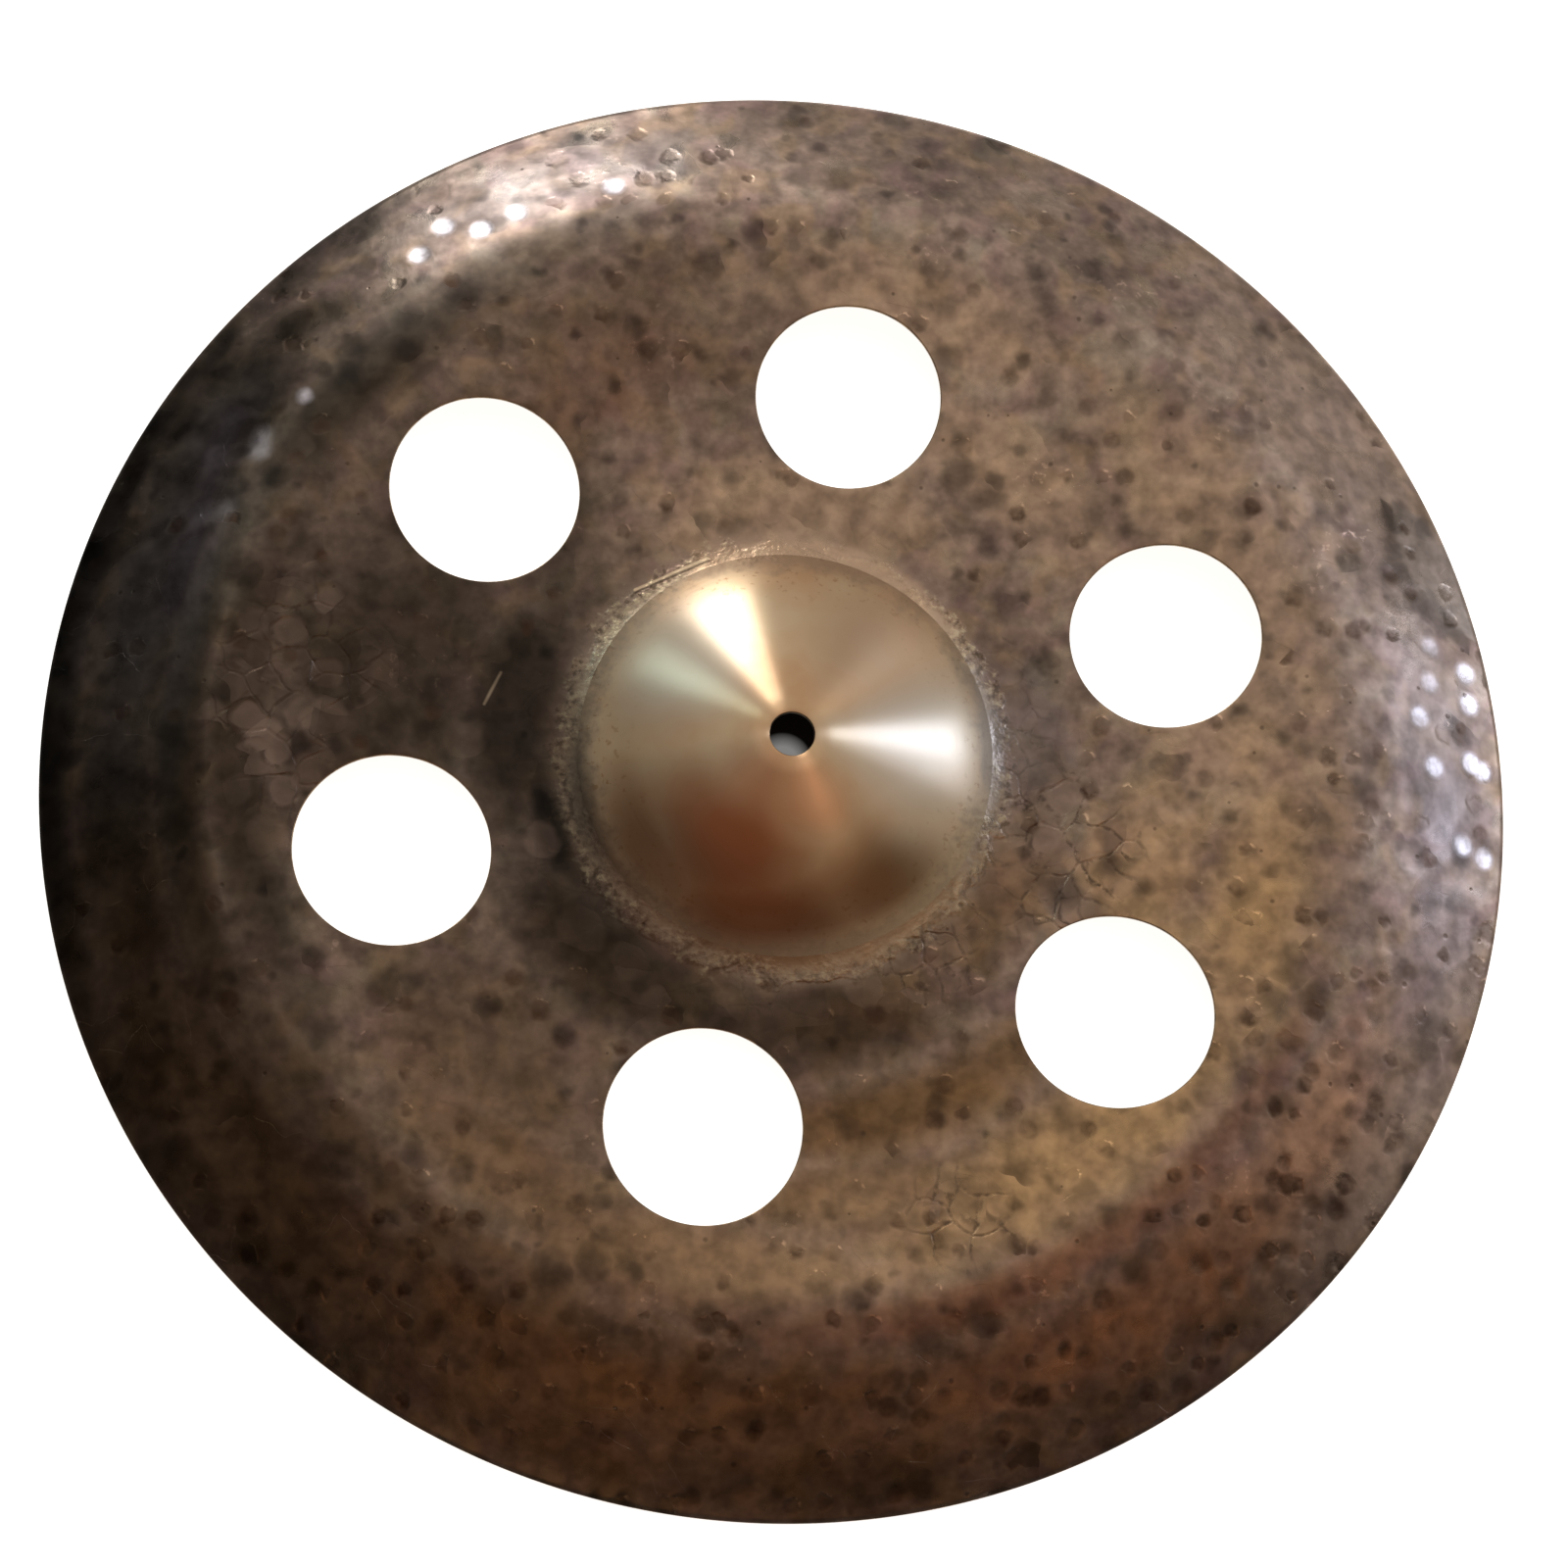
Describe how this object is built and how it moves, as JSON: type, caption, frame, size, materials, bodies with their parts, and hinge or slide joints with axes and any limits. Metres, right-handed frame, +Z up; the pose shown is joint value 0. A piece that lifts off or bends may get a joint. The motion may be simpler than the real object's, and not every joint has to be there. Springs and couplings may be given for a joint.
{
  "type": "china cymbal",
  "caption": "Hammered bronze china cymbal with a lathed domed cup, a ring of round cut-outs in its dished bow, and a turned-down rim.",
  "frame": {"origin": "on the cup's axis, in the plane that the rim's edge lies on", "axes": "+Z up along the cup's axis, out of the centre hole; the cut-outs are placed by hand round it, and the picture's right is +X and its top +Y"},
  "size_m": [0.4062, 0.4062, 0.0288],
  "materials": {
    "raw_hammered_bronze": "cast bronze, hammered all over, with a raw brown patina on the bow and flange and a lathed, brushed golden cup"
  },
  "bodies": {
    "root": {"cymbal": "raw_hammered_bronze"}
  },
  "joints": []
}
